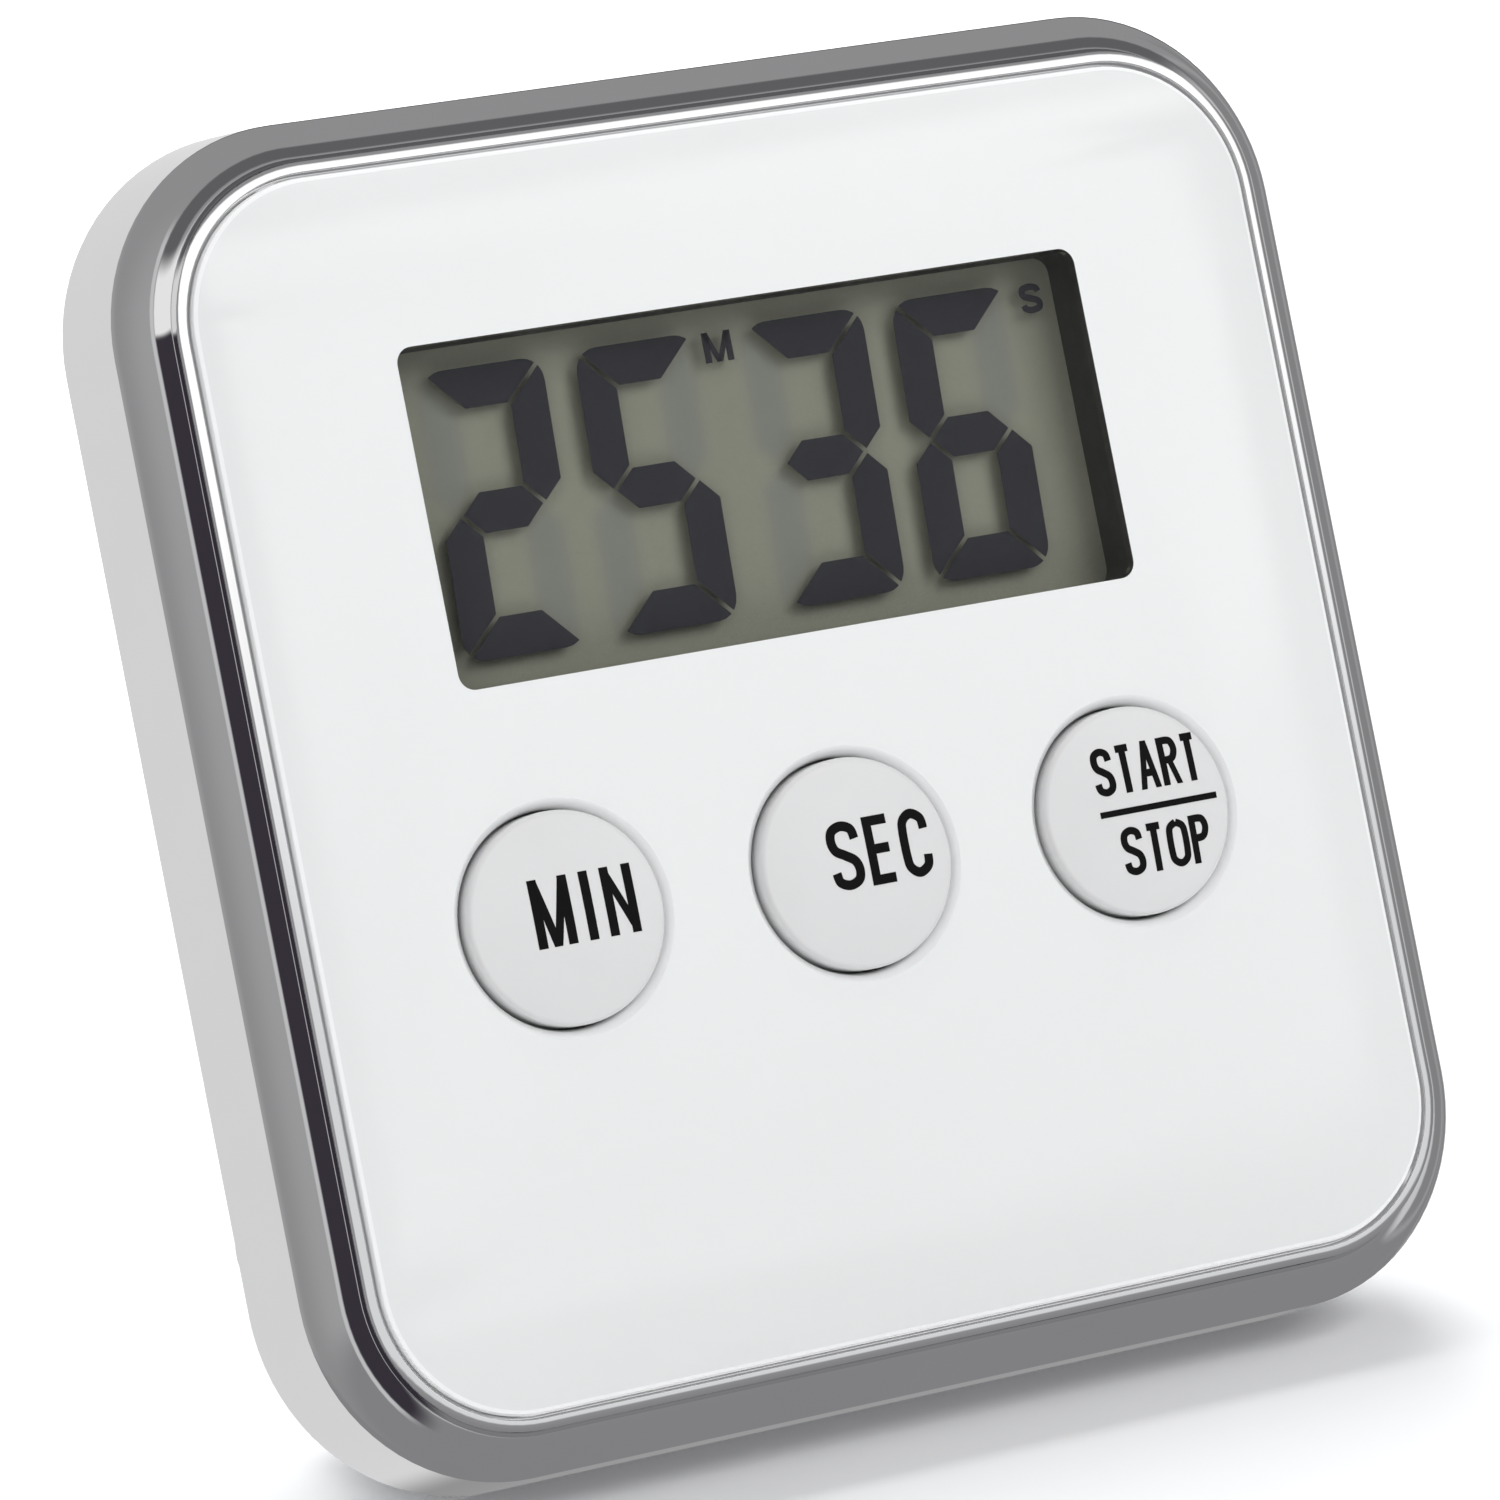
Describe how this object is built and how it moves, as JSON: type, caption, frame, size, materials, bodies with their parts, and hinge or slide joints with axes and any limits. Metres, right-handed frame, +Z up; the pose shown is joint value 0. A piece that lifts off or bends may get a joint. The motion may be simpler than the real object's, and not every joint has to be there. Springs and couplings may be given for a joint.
{
  "type": "digital countdown timer",
  "caption": "Square digital countdown timer with a white face plate, chrome surround, push buttons, magnets and a fold-out wire stand.",
  "frame": {"origin": "on the surface that the timer stands on, under the centre of its bounding box", "axes": "+Z up, +X to the right of someone reading the display, and the face looks towards -Y, leaning back 24 degrees"},
  "size_m": [0.07, 0.0412, 0.0676],
  "materials": {
    "chrome": "bright mirror plating on moulded plastic",
    "stand_wire": "bright plated steel wire",
    "clear_acrylic": "clear, polished, bevelled edge",
    "white_ink": "opaque white print seen through the clear plate",
    "black_foam": "closed-cell foam gasket",
    "lcd_glass": "liquid crystal cell, olive grey with dark segments",
    "lcd_reflector": "grained olive grey reflector foil",
    "black_plastic": "moulded black",
    "button_plastic": "satin pale grey with black printed words",
    "grey_rubber": "matt silicone",
    "zebra_rubber": "striped elastomer",
    "board_green": "solder mask over glass epoxy",
    "epoxy_black": "cast resin drop",
    "steel": "plain bright steel",
    "brass": "thin brass disc",
    "ceramic": "fired ceramic with a silvered face",
    "ferrite": "sintered dark grey",
    "white_plastic": "fine spark-eroded texture",
    "battery_jacket": "printed foil jacket with bare steel ends",
    "red_insulation": "PVC insulation",
    "black_insulation": "PVC insulation"
  },
  "bodies": {
    "case": {"chrome_shell": "chrome", "face_plate": "clear_acrylic", "face_print": "white_ink", "lcd_gasket": "black_foam", "lcd_glass": "lcd_glass", "lcd_reflector": "lcd_reflector", "lcd_frame": "black_plastic", "zebra_strip": "zebra_rubber", "keypad_mat": "grey_rubber", "circuit_board": "board_green", "board_screw_1": "steel", "board_screw_2": "steel", "board_screw_3": "steel", "chip_resin": "epoxy_black", "quartz_crystal": "steel", "buzzer_coil": "ferrite", "capacitor": "ceramic", "rear_cover": "white_plastic", "cover_screw_1": "steel", "cover_screw_2": "steel", "cover_screw_3": "steel", "cover_screw_4": "steel", "magnet_left": "ferrite", "magnet_right": "ferrite", "buzzer_disc": "brass", "buzzer_ceramic": "ceramic", "battery": "battery_jacket", "contact_negative": "steel", "contact_positive": "steel", "battery_spring": "steel", "lead_positive": "red_insulation", "lead_negative": "black_insulation", "lead_buzzer_1": "red_insulation", "lead_buzzer_2": "black_insulation"},
    "min_button": {"button_min": "button_plastic"},
    "sec_button": {"button_sec": "button_plastic"},
    "start_stop_button": {"button_start_stop": "button_plastic"},
    "stand": {"wire_stand": "stand_wire"},
    "door": {"battery_door": "white_plastic"}
  },
  "joints": [
    {"name": "min_button_press", "type": "slide", "parent": "case", "child": "min_button", "axis": [0, 0.9135, -0.4067], "range_m": [0, 0.0008], "stiffness_N_per_m": 300, "springref_m": -0.0005},
    {"name": "sec_button_press", "type": "slide", "parent": "case", "child": "sec_button", "axis": [0, 0.9135, -0.4067], "range_m": [0, 0.0008], "stiffness_N_per_m": 300, "springref_m": -0.0005},
    {"name": "start_stop_button_press", "type": "slide", "parent": "case", "child": "start_stop_button", "axis": [0, 0.9135, -0.4067], "range_m": [0, 0.0008], "stiffness_N_per_m": 300, "springref_m": -0.0005},
    {"name": "stand_hinge", "type": "hinge", "parent": "case", "child": "stand", "pos_m": [0, 0.01016, 0.03731], "axis": [1, 0, 0], "range_deg": [-28.06, 0]},
    {"name": "door_hinge", "type": "hinge", "parent": "case", "child": "door", "pos_m": [0, -0.00288, 0.00655], "axis": [-1, 0, 0], "range_deg": [0, 95]}
  ]
}
